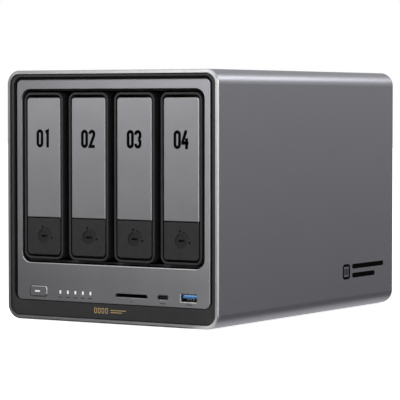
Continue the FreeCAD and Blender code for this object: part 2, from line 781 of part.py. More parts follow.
def tray_latch(node, across):
    """Dark press panel under the handle, with the housing of the key lock behind it."""
    piece = Piece(node)
    face = piece.front(HANDLE_FRONT)
    face.rectangle("-handle_width/2", "handle_width/2", "latch_low", "latch_high")
    piece.pad(face, "latch_thickness")
    bottom = value("latch_low")
    piece.fillet("latch_corner", lambda edge: abs(edge.BoundBox.ZMax - bottom) < 1e-4
                 and edge.BoundBox.YLength > 1)
    piece.chamfer("latch_bevel", piece.face_edges("Y", HANDLE_FRONT))
    behind = f"{HANDLE_FRONT} + latch_thickness - 0.5"
    for side, inward in (("-", "+X"), ("", "-X")):
        ear = piece.outline("YZ", f"{side}handle_width/2")
        ear.polygon([
            (behind, f"{LATCH_PIVOT_Z} - 5"),
            (f"{PIVOT_Y} + 2.4", f"{LATCH_PIVOT_Z} - 2.4"),
            (f"{PIVOT_Y} + 2.4", f"{LATCH_PIVOT_Z} + 2"),
            (behind, f"{LATCH_PIVOT_Z} + 2.4"),
        ])
        piece.pad(ear, "ear_thickness", inward)
        bore = piece.outline("YZ", f"{side}(handle_width/2 + 1)")
        bore.circle(PIVOT_Y, LATCH_PIVOT_Z, "latch_pin_radius + pin_clearance")
        piece.pocket(bore, "ear_thickness + 2", inward)
    housing = piece.front(behind).circle("0", "lock_height", "lock_radius + 1.5")
    piece.pad(housing, "6")
    well = piece.front(f"{HANDLE_FRONT} - 1").circle("0", "lock_height", "lock_radius + 0.6")
    piece.pocket(well, "1 + lock_recess")
    bore = piece.front(f"{HANDLE_FRONT} - 1").circle("0", "lock_height", "lock_radius + pin_clearance")
    piece.pocket(bore, "20")
    hook = piece.front(behind).slab("0", "latch_low + 2.2", "14", "2.4")
    piece.pad(hook, "4.5")
    piece.place(x=across)


def tray_lock(node, across):
    """Key cylinder with a coin slot in front and a small cam behind."""
    piece = Piece(node)
    front = f"({HANDLE_FRONT} + lock_recess + 0.1)"
    cylinder = piece.front(front).circle("0", "lock_height", "lock_radius")
    piece.pad(cylinder, "lock_length")
    slot = piece.front(front).slab("0", "lock_height", "5", "1.4", "0.6")
    piece.pocket(slot, "2.2")
    cam = piece.front(f"{front} + lock_length").slab("0", "lock_height", "12.6", "3", "1.4")
    piece.pad(cam, "1.1")
    piece.place(x=across)


# ---------------------------------------------------------------- inside

def drive_cage():
    """Folded sheet sleeve round the four bays, with air holes in its top and sides."""
    piece = Piece("drive_cage")
    ring = piece.front(BEZEL_BACK)
    ring.rectangle("-2*tray_pitch - cage_sheet", "2*tray_pitch + cage_sheet",
                   "cage_low - cage_sheet", "cage_high + cage_sheet")
    ring.rectangle("-2*tray_pitch", "2*tray_pitch", "cage_low", "cage_high")
    piece.pad(ring, "cage_length")
    side_hole = piece.outline("YZ", "-2*tray_pitch - cage_sheet - 1")
    side_hole.slab("-90", "(cage_low + cage_high)/2", "14", "80", "4")
    side = piece.pocket(side_hole, "4*tray_pitch + 2*cage_sheet + 2", "+X")
    piece.repeat(side, "Y", "22", "6")


def bay_dividers():
    """Three upright sheets between the bays."""
    piece = Piece("bay_dividers")
    walls = piece.front("-105")
    for index in (-1, 0, 1):
        walls.slab(f"{index}*tray_pitch", "(cage_low + cage_high)/2", "divider_sheet",
                   "cage_high - cage_low")
    piece.pad(walls, f"{CAGE_BACK} + 105 - 2")
    hole = piece.outline("YZ", "-tray_pitch - 3")
    hole.slab("-90", "(cage_low + cage_high)/2", "10", "84", "4")
    air = piece.pocket(hole, "2*tray_pitch + 6", "+X")
    piece.repeat(air, "Y", "18", "7")


def tray_guides():
    """Eight bars on the cage's floor and ceiling that the trays' grooves ride on."""
    piece = Piece("tray_guides")
    bars = piece.front("-104")
    for index in range(TRAY_COUNT):
        centre = f"{index - 1.5}*tray_pitch"
        bars.slab(centre, "cage_low + guide_height/2", "guide_width", "guide_height")
        bars.slab(centre, "cage_high - guide_height/2", "guide_width", "guide_height")
    piece.pad(bars, f"{CAGE_BACK} + 104 - 6")


def backplane_board():
    """Upright board behind the bays, with air windows and a tongue down to the main board."""
    piece = Piece("backplane_board")
    board = piece.front(CAGE_BACK)
    board.polygon([
        ("-76", "cage_low"), ("-70", "cage_low"), ("-70", "20"), ("-10", "20"),
        ("-10", "cage_low"), ("76", "cage_low"), ("76", "162"), ("-76", "162"),
    ])
    for index in range(TRAY_COUNT):
        board.slab(f"{index - 1.5}*tray_pitch + 6", "104", "14", "104", "3")
    piece.pad(board, "board_thickness")


def backplane_slot():
    """Edge connector on the main board that takes the backplane's tongue."""
    piece = Piece("backplane_slot")
    block = piece.outline("XY", BOARD_TOP)
    block.rectangle("-73", "-7", f"{CAGE_BACK} - 2.4", f"{CAGE_BACK} + 4")
    piece.pad(block, "9", "+Z")
    slot = piece.outline("XY", f"{BOARD_TOP} + 10")
    slot.rectangle("-70.4", "-9.6", f"{CAGE_BACK} - 0.1", f"{CAGE_BACK} + board_thickness + 0.1")
    piece.pocket(slot, "6", "-Z")


def sata_connectors():
    """Four drive connectors on the backplane's front."""
    piece = Piece("sata_connectors")
    blocks = piece.front(f"{CAGE_BACK} - 5.5")
    keys = piece.front(f"{CAGE_BACK} - 7.5")
    for index in range(TRAY_COUNT):
        centre = f"{index - 1.5}*tray_pitch - 8.5"
        blocks.slab(centre, "79", "5.6", "42")
        keys.slab(f"{centre} + 0.4", "87", "1.2", "20")
        keys.slab(f"{centre} + 0.4", "66.5", "1.2", "11")
    piece.pad(blocks, "5.5")
    piece.pad(keys, "2.2")


def main_board():
    """Level main board with its processor, coils and larger chips."""
    piece = Piece("main_board")
    board = piece.outline("XY", "main_board_height")
    board.rectangle("main_board_left", "main_board_right", "main_board_front", "main_board_back")
    piece.pad(board, "board_thickness", "+Z")
    parts = piece.outline("XY", BOARD_TOP)
    parts.slab("-27.5", "-12", "30", "24")
    parts.slab("-70", "75", "14", "14")
    parts.slab("-40", "80", "10", "10")
    parts.slab("-5", "72", "12", "12")
    piece.pad(parts, "1.4", "+Z")
    coils = piece.outline("XY", BOARD_TOP)
    for index in range(5):
        coils.slab("-76", f"-48 + {index}*9", "7", "7")
    piece.pad(coils, "5", "+Z")


def cpu_heatsink():
    """Finned cooler on the processor."""
    piece = Piece("cpu_heatsink")
    base = piece.outline("XY", f"{BOARD_TOP} + 1.4").slab("-27.5", "-12", "76", "60")
    piece.pad(base, "4", "+Z")
    fin = piece.outline("XY", f"{BOARD_TOP} + 5.4").slab("-64.5", "-12", "1.2", "60")
    first = piece.pad(fin, "15", "+Z")
    piece.repeat(first, "X", "5.28", "15")


def memory_sockets():
    """Two level memory sockets under the main board."""
    piece = Piece("memory_sockets")
    blocks = piece.outline("XY", "main_board_height")
    for along in ("22", "-20"):
        blocks.slab("-33", along, "72", "7")
    piece.pad(blocks, "4.6", "-Z")
    slots = piece.outline("XY", "main_board_height - 2.2")
    for along in ("20.5", "-21.5"):
        slots.slab("-33", along, "68", "6")
    piece.pocket(slots, "1.3", "-Z")


def memory_modules():
    """Two memory modules in their sockets, each with its row of chips."""
    piece = Piece("memory_modules")
    boards = piece.outline("XY", "main_board_height - 2.25")
    chips = piece.outline("XY", "main_board_height - 3.45")
    for along in ("8.3", "-33.7"):
        boards.slab("-33", along, "67.6", "30")
        for index in range(4):
            chips.slab(f"-57 + {index}*16", f"{along} - 3", "11", "9")
    piece.pad(boards, "1.2", "-Z")
    piece.pad(chips, "1", "-Z")


def board_standoffs():
    """Six posts that carry the main board."""
    piece = Piece("board_standoffs")
    posts = piece.outline("XY", FLOOR)
    for across in ("-75", "17"):
        for along in ("-56", "52", "112"):
            posts.circle(across, along, "2.8")
    piece.pad(posts, f"main_board_height - {FLOOR}", "+Z")


def power_supply():
    """Sheet box of the built-in supply, with air holes in both ends."""
    piece = Piece("power_supply")
    box = piece.front("supply_front")
    box.rectangle("supply_left", "supply_right", FLOOR, "supply_high")
    piece.pad(box, "supply_back - supply_front")
    inside = piece.front("supply_front + 1")
    inside.rectangle("supply_left + 1", "supply_right - 1", f"{FLOOR} + 1", "supply_high - 1")
    piece.pocket(inside, "supply_back - supply_front")
    lid = piece.front("supply_back - 1")
    lid.rectangle("supply_left + 1", "supply_right - 1", f"{FLOOR} + 1", "supply_high - 1")
    piece.pad(lid, "1")
    hole = piece.front("supply_front - 1").slab("supply_left + 8", "20.5", "3", "22", "1.4")
    air = piece.pocket(hole, "supply_back - supply_front + 2")
    piece.repeat(air, "X", "7", "6")


# ---------------------------------------------------------------- back

def rear_panel():
    """Back panel with the filter recess, the fan opening and the strip of ports."""
    piece = Piece("rear_panel")
    plug = piece.front(PANEL_FRONT)
    edge = f"({INNER} - 0.2)"
    plug.rounded(f"-{edge}", edge, f"{FLOOR} + 0.2", f"{CEILING} - 0.2",
                 "shell_radius - shell_wall - 0.2")
    piece.pad(plug, "panel_depth - panel_flange")
    flange = piece.front(f"{BACK} - panel_flange")
    flange.rounded("-case_width/2 + panel_edge", "case_width/2 - panel_edge",
                   "foot_height + panel_edge", "case_height - panel_edge",
                   "shell_radius - panel_edge")
    piece.pad(flange, "panel_flange")
    piece.chamfer("0.5", piece.face_edges("Y", BACK))
    recess = piece.front(BACK)
    recess.rounded("-filter_half_width", "filter_half_width", "filter_low", "filter_high", "5")
    piece.pocket(recess, "filter_recess", "-Y")
    strip = piece.front(BACK)
    strip.rounded("-strip_half_width", "strip_half_width", "strip_low", "strip_high", "2.5")
    piece.pocket(strip, "strip_recess", "-Y")
    relief = piece.front(PANEL_FRONT)
    relief.rectangle("-strip_half_width", "strip_half_width", "strip_low", "strip_high")
    piece.pocket(relief, "panel_depth - strip_recess - 1.5")
    holes = piece.front(BACK)
    holes.circle("0", "fan_height", "65")
    fan_corners(holes, "fan_screw_hole")
    for index in range(2):
        holes.slab(f"jack_first + {index}*jack_pitch", f"{BOARD_TOP} + jack_tall/2",
                   "jack_width + 0.4", "jack_tall + 0.4")
    for index in range(3):
        holes.slab(f"rear_usb_first + {index}*rear_usb_pitch", REAR_USB_HEIGHT,
                   "usb_a_width + 0.3", "usb_a_tall + 0.3", "0.6")
    holes.slab("hdmi_across", HDMI_HEIGHT, "15.3", "6.3", "1")
    holes.circle("reset_across", "reset_height", "1")
    holes.slab("inlet_across", "inlet_height", "inlet_width + 0.4", "inlet_tall + 0.4", "1.5")
    holes.slab("82", "62", "3", "7", "0.6")
    piece.pocket(holes, "panel_depth + 1", "-Y")
    sinks = piece.front(BACK)
    panel_corners(sinks, "3")
    piece.pocket(sinks, "1.2", "-Y")
    bores = piece.front(BACK)
    panel_corners(bores, "1.5")
    piece.pocket(bores, "panel_depth + 1", "-Y")
    fan_heads = piece.front(FILTER_FLOOR)
    fan_corners(fan_heads, "3.6")
    piece.pocket(fan_heads, "1.2", "-Y")
    magnet_wells = piece.front(FILTER_FLOOR)
    corner_posts(magnet_wells, "70.6", "60", "146", "4.05")
    piece.pocket(magnet_wells, "1.6", "-Y")


def fan_corners(outline, radius):
    """Four circles at the fan's screw places."""
    low = "fan_height - fan_hole_spacing/2"
    high = "fan_height + fan_hole_spacing/2"
    return corner_posts(outline, "fan_hole_spacing/2", low, high, radius)


def panel_corners(outline, radius):
    """Four circles at the rear panel's screw places."""
    low = f"{FLOOR} + boss_inset"
    high = f"{CEILING} - boss_inset"
    return corner_posts(outline, f"{INNER} - boss_inset", low, high, radius)


def rear_panel_screws():
    """Four screws that hold the rear panel to the sleeve's corner posts."""
    piece = Piece("rear_panel_screws")
    piece.pad(panel_corners(piece.front(f"{BACK} - 1.15"), "2.8"), "1.05")
    piece.pad(panel_corners(piece.front(f"{BACK} - 12"), "1.2"), "11")
    sockets = panel_corners(piece.front(f"{BACK}"), "1.1")
    piece.pocket(sockets, "0.9", "-Y")


def fan_screws():
    """Four screws through the rear panel into the fan's corners."""
    piece = Piece("fan_screws")
    piece.pad(fan_corners(piece.front(f"{FILTER_FLOOR} - 1.15"), "3.4"), "1.05")
    piece.pad(fan_corners(piece.front(f"{FILTER_FLOOR} - 11"), "1.9"), "10")


def filter_magnets():
    """Four disc magnets that hold the filter cover."""
    piece = Piece("filter_magnets")
    discs = piece.front(f"{FILTER_FLOOR} - 1.55")
    corner_posts(discs, "70.6", "60", "146", "4")
    piece.pad(discs, "1.5")


def rear_filter_cover():
    """Lift-off frame of the rear filter."""
    piece = Piece("rear_filter_cover")
    back = f"{BACK} - 0.3"
    frame = piece.front(f"{FILTER_FLOOR} + 0.2")
    frame.rounded("-filter_half_width + 0.4", "filter_half_width - 0.4", "filter_low + 0.4",
                  "filter_high - 0.4", "4.6")
    frame.rounded("-filter_half_width + 0.4 + filter_border",
                  "filter_half_width - 0.4 - filter_border",
                  "filter_low + 0.4 + filter_border", "filter_high - 0.4 - filter_border", "3")
    piece.pad(frame, f"{back} - {FILTER_FLOOR} - 0.2")
    piece.chamfer("0.5", piece.face_edges("Y", back, outer=True, inner=True))
    rebate = piece.front(f"{FILTER_FLOOR} + 0.2")
    rebate.rectangle("-filter_half_width - 0.5 + filter_border",
                     "filter_half_width + 0.5 - filter_border",
                     "filter_low - 0.5 + filter_border", "filter_high + 0.5 - filter_border")
    piece.pocket(rebate, "1.7")


def rear_filter_mesh():
    """Slotted dust screen in the filter frame."""
    piece = Piece("rear_filter_mesh")
    screen = piece.front(f"{FILTER_FLOOR} + 1")
    screen.rectangle("-filter_half_width - 0.4 + filter_border",
                     "filter_half_width + 0.4 - filter_border",
                     "filter_low - 0.4 + filter_border", "filter_high + 0.4 - filter_border")
    piece.pad(screen, "0.9")
    slot = piece.front(f"{FILTER_FLOOR} - 1")
    for across in ("-46", "0", "46"):
        slot.slab(across, "filter_low + 10.5", "42", "2.6", "1.2")
    row = piece.pocket(slot, "6")
    piece.repeat(row, "Z", "5.05", "23")


def fan_frame():
    """Square fan frame with its hub plate and four struts."""
    piece = Piece("fan_frame")
    ring = piece.front(f"{PANEL_FRONT} - fan_depth")
    ring.slab("0", "fan_height", "fan_size", "fan_size", "6")
    ring.circle("0", "fan_height", "fan_bore")
    piece.pad(ring, "fan_depth")
    corners = fan_corners(piece.front(f"{PANEL_FRONT} - fan_depth - 1"), "fan_screw_hole - 0.05")
    piece.pocket(corners, "fan_depth + 2")
    hub = piece.front(f"{PANEL_FRONT} - fan_depth").circle("0", "fan_height", "hub_radius")
    piece.pad(hub, "4")
    level = piece.front(f"{PANEL_FRONT} - fan_depth").slab("0", "fan_height", "2*fan_bore + 1", "5")
    piece.pad(level, "3.5")
    upright = piece.front(f"{PANEL_FRONT} - fan_depth").slab("0", "fan_height", "5",
                                                             "2*fan_bore + 1")
    piece.pad(upright, "3.5")


def fan_rotor():
    """Hub with slanted blades, drawn round the body's own Y axis."""
    piece = Piece("fan_rotor")
    hub = piece.front("5").circle("0", "0", "hub_radius")
    piece.pad(hub, "17")
    blade = piece.outline("YZ", "hub_radius - 2")
    blade.polygon([("5.5", "-11"), ("7.6", "-11"), ("21.5", "9"), ("19.4", "9")])
    first = piece.pad(blade, "blade_tip - hub_radius + 2", "+X")
    piece.turn(first, "Y", "blade_count")
    piece.place(y=f"{PANEL_FRONT} - fan_depth", z="fan_height")


def ethernet_jacks():
    """Two network jacks at the back of the main board."""
    piece = Piece("ethernet_jacks")
    blocks = piece.front(f"{STRIP_FACE} - 21")
    mouths = piece.front(STRIP_FACE)
    clips = piece.front(STRIP_FACE)
    for index in range(2):
        across = f"jack_first + {index}*jack_pitch"
        blocks.rectangle(f"{across} - jack_width/2", f"{across} + jack_width/2", BOARD_TOP,
                         f"{BOARD_TOP} + jack_tall")
        mouths.slab(across, f"{BOARD_TOP} + 7.2", "11.9", "7.6")
        clips.slab(across, f"{BOARD_TOP} + 2.4", "6", "2.6")
    piece.pad(blocks, "21")
    piece.pocket(mouths, "13", "-Y")
    piece.pocket(clips, "13", "-Y")


def hdmi_port():
    """Display socket with its tongue."""
    piece = Piece("hdmi_port")
    shell = piece.front(STRIP_FACE).slab("hdmi_across", HDMI_HEIGHT, "15", "6", "0.9")
    piece.pad(shell, "12", "-Y")
    mouth = piece.front(STRIP_FACE)
    low = f"{HDMI_HEIGHT} - 2.5"
    mouth.polygon([
        ("hdmi_across - 5.4", low), ("hdmi_across + 5.4", low),
        ("hdmi_across + 7", f"{low} + 1.8"), ("hdmi_across + 7", f"{low} + 5"),
        ("hdmi_across - 7", f"{low} + 5"), ("hdmi_across - 7", f"{low} + 1.8"),
    ])
    piece.pocket(mouth, "9", "-Y")
    tongue = piece.front(f"{STRIP_FACE} - 1").slab("hdmi_across", f"{HDMI_HEIGHT} + 0.7", "11", "1.2")
    piece.pad(tongue, "9", "-Y")
    foot = piece.front(f"{STRIP_FACE} - 7")
    foot.rectangle("hdmi_across - 6", "hdmi_across + 6", BOARD_TOP, f"{HDMI_HEIGHT} - 2.8")
    piece.pad(foot, "4", "-Y")


def ac_inlet():
    """Mains inlet with three blades; no cord is part of the object."""
    piece = Piece("ac_inlet")
    block = piece.front(STRIP_FACE)
    block.slab("inlet_across", "inlet_height", "inlet_width", "inlet_tall", "1.2")
    piece.pad(block, "22", "-Y")
    well = piece.front(STRIP_FACE)
    well.polygon([
        ("inlet_across - 12", "inlet_height - 8"), ("inlet_across + 12", "inlet_height - 8"),
        ("inlet_across + 12", "inlet_height + 4.4"), ("inlet_across + 8.4", "inlet_height + 8"),
        ("inlet_across - 8.4", "inlet_height + 8"), ("inlet_across - 12", "inlet_height + 4.4"),
    ])
    piece.pocket(well, "17", "-Y")
    blades = piece.front(f"{STRIP_FACE} - 3")
    for across, up in (("-7", "-1.7"), ("7", "-1.7"), ("0", "2.3")):
        blades.slab(f"inlet_across + {across}", f"inlet_height + {up}", "2", "4", "0.4")
    piece.pad(blades, "15", "-Y")


def reset_switch():
    """Small switch body behind the pin hole."""
    piece = Piece("reset_switch")
    block = piece.front("114").rectangle("reset_across - 2", "reset_across + 2", BOARD_TOP,
                                         "reset_height + 2")
    piece.pad(block, "5.5")
    bore = piece.front("120").circle("reset_across", "reset_height", "1.15")
    piece.pocket(bore, "4", "-Y")


def reset_button():
    """Plunger that a pin presses through the rear panel."""
    piece = Piece("reset_button")
    plunger = piece.front("117").circle("reset_across", "reset_height", "1.1")
    piece.pad(plunger, "5")
    piece.chamfer("0.2", piece.face_edges("Y", "122"))


def build():
    outer_shell()
    bottom_hatch()
    hatch_screws()
    rubber_feet()
    front_bezel_frame()
    front_plate()
    power_button()
    power_button_light()
    power_switch()
    led_light_pipes()
    front_io_board()
    sd_card_slot()
    usb_c_port()
    usb_socket("usb_a_port", ["usb_a_across"], "usb_a_height", f"{PLATE_FRONT} + 0.3", "+Y",
               IO_BOARD_TOP)
    for index in range(TRAY_COUNT):
        across = f"{index - 1.5}*tray_pitch"
        number = index + 1
        tray_bezel(f"tray_bezel_{number}", across)
        tray_carrier(f"tray_carrier_{number}", across)
        tray_handle(f"tray_handle_{number}", across)
        tray_latch(f"tray_latch_{number}", across)
        tray_lock(f"tray_lock_{number}", across)
    drive_cage()
    bay_dividers()
    tray_guides()
    backplane_board()
    backplane_slot()
    sata_connectors()
    main_board()
    cpu_heatsink()
    memory_sockets()
    memory_modules()
    board_standoffs()
    power_supply()
    rear_panel()
    rear_panel_screws()
    fan_screws()
    filter_magnets()
    rear_filter_cover()
    rear_filter_mesh()
    fan_frame()
    fan_rotor()
    ethernet_jacks()
    rear_usb_places = [f"rear_usb_first + {index}*rear_usb_pitch" for index in range(3)]
    usb_socket("rear_usb_ports", rear_usb_places, REAR_USB_HEIGHT, STRIP_FACE, "-Y", BOARD_TOP)
    hdmi_port()
    ac_inlet()
    reset_switch()
    reset_button()


def check():
    """Stops if any object failed, any shape is bad or any pocket cut nothing."""
    for item in doc.Objects:
        if "Invalid" in item.State or "Error" in item.State:
            raise RuntimeError(f"{item.Name} failed: {item.State}")
    for piece in pieces:
        shape = piece.body.Shape
        if shape.isNull() or not shape.isValid() or not shape.Solids:
            raise RuntimeError(f"{piece.body.Label} has no valid shape")
        for cut in piece.cuts:
            if cut.Shape.Volume >= cut.BaseFeature.Shape.Volume - 0.01:
                raise RuntimeError(f"{cut.Name} cuts nothing")


def write():
    """Writes one STEP file for each piece."""
    os.makedirs("parts", exist_ok=True)
    for piece in pieces:
        piece.body.Shape.exportStep(f"parts/{piece.body.Label}.step")


build()
doc.recompute()
check()
write()
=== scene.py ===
import json
import math

import bmesh
import bpy
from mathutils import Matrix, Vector


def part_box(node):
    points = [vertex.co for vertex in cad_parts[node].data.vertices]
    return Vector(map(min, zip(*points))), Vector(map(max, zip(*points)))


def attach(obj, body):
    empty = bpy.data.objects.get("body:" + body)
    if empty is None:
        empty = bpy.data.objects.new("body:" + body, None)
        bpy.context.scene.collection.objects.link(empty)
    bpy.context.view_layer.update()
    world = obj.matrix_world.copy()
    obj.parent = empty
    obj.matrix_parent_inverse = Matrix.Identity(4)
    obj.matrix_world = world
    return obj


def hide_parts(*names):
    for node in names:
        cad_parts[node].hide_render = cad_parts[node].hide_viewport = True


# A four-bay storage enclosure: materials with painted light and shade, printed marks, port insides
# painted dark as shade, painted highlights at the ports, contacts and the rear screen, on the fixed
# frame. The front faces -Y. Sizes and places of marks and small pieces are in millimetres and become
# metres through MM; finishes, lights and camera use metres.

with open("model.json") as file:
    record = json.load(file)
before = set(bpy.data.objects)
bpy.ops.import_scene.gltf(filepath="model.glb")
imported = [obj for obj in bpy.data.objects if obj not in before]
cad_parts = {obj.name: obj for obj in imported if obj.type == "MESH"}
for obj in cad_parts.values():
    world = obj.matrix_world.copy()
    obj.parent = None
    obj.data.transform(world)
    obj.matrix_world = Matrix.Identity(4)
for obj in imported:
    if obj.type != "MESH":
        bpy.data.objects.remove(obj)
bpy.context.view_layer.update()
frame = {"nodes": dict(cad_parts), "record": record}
nodes = frame["nodes"]

MM = 0.001
TRAYS = (1, 2, 3, 4)
SLEEVE_SIDE = 0.089            # half the sleeve's width
PLATE_SIDE = 0.081             # half the front plate's width


# ---------------------------------------------------------------- materials

class Paint:
    """Builds one Principled material, with short names for the nodes that shape it."""

    def __init__(self, name, color, roughness, metallic=0.0, **sockets):
        self.material = bpy.data.materials.new(name)
        self.material.use_nodes = True
        self.tree = self.material.node_tree
        self.shader = self.tree.nodes["Principled BSDF"]
        self.set("Base Color", (*color, 1.0))
        self.set("Roughness", roughness)
        self.set("Metallic", metallic)
        for socket, amount in sockets.items():
            self.set(socket.replace("_", " "), amount)
        self.color = color
        self.roughness = roughness
        self.place = self.tree.nodes.new("ShaderNodeTexCoord").outputs["Object"]

    def set(self, socket, amount):
        """Sets one of the shader's own sockets to an even value."""
        self.shader.inputs[socket].default_value = amount

    def noise(self, size, detail=2.0, stretch=(1, 1, 1)):
        """Noise whose features are about the given size across."""
        mapping = self.tree.nodes.new("ShaderNodeMapping")
        mapping.inputs["Scale"].default_value = stretch
        self.tree.links.new(self.place, mapping.inputs["Vector"])
        noise = self.tree.nodes.new("ShaderNodeTexNoise")
        noise.inputs["Scale"].default_value = 1.0 / size
        noise.inputs["Detail"].default_value = detail
        self.tree.links.new(mapping.outputs["Vector"], noise.inputs["Vector"])
        return noise.outputs["Fac"]

    def span(self, source, low, high):
        """Maps a 0..1 source to a range."""
        ramp = self.tree.nodes.new("ShaderNodeMapRange")
        ramp.inputs["From Min"].default_value = 0.3
        ramp.inputs["From Max"].default_value = 0.7
        ramp.inputs["To Min"].default_value = low
        ramp.inputs["To Max"].default_value = high
        self.tree.links.new(source, ramp.inputs["Value"])
        return ramp.outputs["Result"]

    def vary_roughness(self, size, spread, **kind):
        """Moves the roughness up and down by noise."""
        result = self.span(self.noise(size, **kind), self.roughness - spread,
                           self.roughness + spread)
        self.tree.links.new(result, self.shader.inputs["Roughness"])
        return self

    def vary_color(self, size, other, **kind):
        """Mixes the base colour with another one by noise."""
        mix = self.tree.nodes.new("ShaderNodeMix")
        mix.data_type = "RGBA"
        mix.inputs["A"].default_value = (*self.color, 1.0)
        mix.inputs["B"].default_value = (*other, 1.0)
        self.tree.links.new(self.span(self.noise(size, **kind), 0.0, 1.0), mix.inputs["Factor"])
        self.tree.links.new(mix.outputs["Result"], self.shader.inputs["Base Color"])
        return self

    def fade(self, axis, start, end, low, high):
        """Scales the base colour evenly along one axis of the piece; the script uses it to paint
        light and shade.
        """
        parts = self.tree.nodes.new("ShaderNodeSeparateXYZ")
        self.tree.links.new(self.place, parts.inputs[0])
        level = self.tree.nodes.new("ShaderNodeMapRange")
        level.inputs["From Min"].default_value = start
        level.inputs["From Max"].default_value = end
        level.inputs["To Min"].default_value = low
        level.inputs["To Max"].default_value = high
        self.tree.links.new(parts.outputs[axis], level.inputs["Value"])
        scale = self.tree.nodes.new("ShaderNodeVectorMath")
        scale.operation = "SCALE"
        base = self.shader.inputs["Base Color"]
        self.tree.links.new(base.links[0].from_socket, scale.inputs[0])
        self.tree.links.new(level.outputs["Result"], scale.inputs["Scale"])
        self.tree.links.new(scale.outputs["Vector"], base)
        return self

    def grain(self, size, height, strength=0.5, **kind):
        """A fine bump."""
        bump = self.tree.nodes.new("ShaderNodeBump")
        bump.inputs["Distance"].default_value = height
        bump.inputs["Strength"].default_value = strength
        self.tree.links.new(self.noise(size, **kind), bump.inputs["Height"])
        self.tree.links.new(bump.outputs["Normal"], self.shader.inputs["Normal"])
        return self


def blasted_aluminium():
    """Grey anodising over a bead-blasted surface."""
    paint = Paint("shell_anodised", (0.298, 0.299, 0.330), 0.40, metallic=0.9)
    paint.vary_color(0.0006, (0.33, 0.331, 0.364), detail=4.0)
    paint.vary_roughness(0.02, 0.01)
    return paint.grain(0.00035, 0.00003, 0.35, detail=3.0)


def front_metal():
    """Metallic grey of the front plate and the power button, with painted light: brighter towards
    the right and painted shade towards the bottom.
    """
    paint = Paint("front_metal", (0.28, 0.279, 0.295), 0.42, metallic=0.8)
    paint.vary_color(0.0005, (0.305, 0.304, 0.322), detail=4.0)
    # painted light: the base colour grows brighter towards the right of the plate
    paint.fade("X", -PLATE_SIDE, PLATE_SIDE, 0.8, 1.32)
    # painted shade: the base colour grows darker towards the bottom
    paint.fade("Z", 0.030, 0.058, 0.83, 1.0)
    paint.vary_roughness(0.015, 0.015)
    return paint.grain(0.0003, 0.00003, 0.35, detail=3.0)


def handle_metal():
    """Lighter metallic grey of the tray handles, with painted shade that darkens it towards the
    bottom.
    """
    paint = Paint("handle_metal", (0.325, 0.325, 0.342), 0.40, metallic=0.8)
    paint.vary_color(0.0005, (0.36, 0.36, 0.378), detail=4.0)
    # painted shade: the base colour grows darker towards the bottom of the handles
    paint.fade("Z", 0.074, 0.16, 0.86, 1.0)
    paint.vary_roughness(0.012, 0.015)
    return paint.grain(0.0003, 0.00003, 0.35, detail=3.0)


def dark_moulding(name, grey, roughness):
    """Dark engineering plastic with a fine moulded grain."""
    paint = Paint(name, (grey, grey, grey * 1.02), roughness, Specular_IOR_Level=0.3)
    paint.vary_color(0.004, (grey * 1.25, grey * 1.25, grey * 1.28), detail=3.0)
    paint.vary_roughness(0.006, 0.05)
    return paint.grain(0.0006, 0.00006, 0.5, detail=3.0)


MADE = {
    "anodised_shell": blasted_aluminium().material,
    "front_metal": front_metal().material,
    "handle_metal": handle_metal().material,
    "bezel_plastic": dark_moulding("bezel_plastic", 0.018, 0.5).material,
    "tray_plastic": dark_moulding("tray_plastic", 0.016, 0.45).material,
    "latch_plastic": dark_moulding("latch_plastic", 0.014, 0.5).material,
    "lock_plastic": dark_moulding("lock_plastic", 0.008, 0.5).material,
    "black_plastic": dark_moulding("black_plastic", 0.008, 0.5).material,
    "rear_dark": dark_moulding("rear_dark", 0.03, 0.5).material,
    "filter_dark": dark_moulding("filter_dark", 0.02, 0.4).material,
    "dark_sheet": dark_moulding("dark_sheet", 0.04, 0.5).material,
    "foot_rubber": dark_moulding("foot_rubber", 0.02, 0.8).material,
}


def plain(name, color, roughness, metallic):
    """An even finish with a trace of wear and a fine bump."""
    paint = Paint(name, color, roughness, metallic)
    paint.vary_roughness(0.002, roughness * 0.25)
    return paint.grain(0.0008, 0.00003, 0.3).material


def cut_metal_painted_light(name, color, roughness):
    """Metal cut bright along an edge, with painted light: darker on the left, brighter on the right,
    and a painted highlight along the top of the sleeve.
    """
    paint = Paint(name, color, roughness, metallic=0.95)
    paint.vary_color(0.004, tuple(part * 0.93 for part in color), detail=3.0)
    # painted light: darker towards the left side, brighter towards the right
    paint.fade("X", -SLEEVE_SIDE, SLEEVE_SIDE, 0.71, 1.38)
    # painted highlight along the top edge of the sleeve
    paint.fade("Z", 0.172, 0.1775, 1.0, 1.3)
    paint.vary_roughness(0.01, 0.02)
    return paint.grain(0.0003, 0.00002, 0.25).material


def black_ink():
    """Dead black print of the tray numbers and the side mark."""
    paint = Paint("ink_black", (0.0015, 0.0015, 0.0017), 0.75, Specular_IOR_Level=0.02)
    return paint.vary_roughness(0.002, 0.1).material


def light_pipe():
    """White light pipes and the power button's window, gently lit."""
    paint = Paint("light_pipe", (0.50, 0.52, 0.55), 0.35)
    paint.set("Emission Color", (0.95, 0.97, 1.0, 1.0))
    paint.set("Emission Strength", 0.24)
    return paint.material


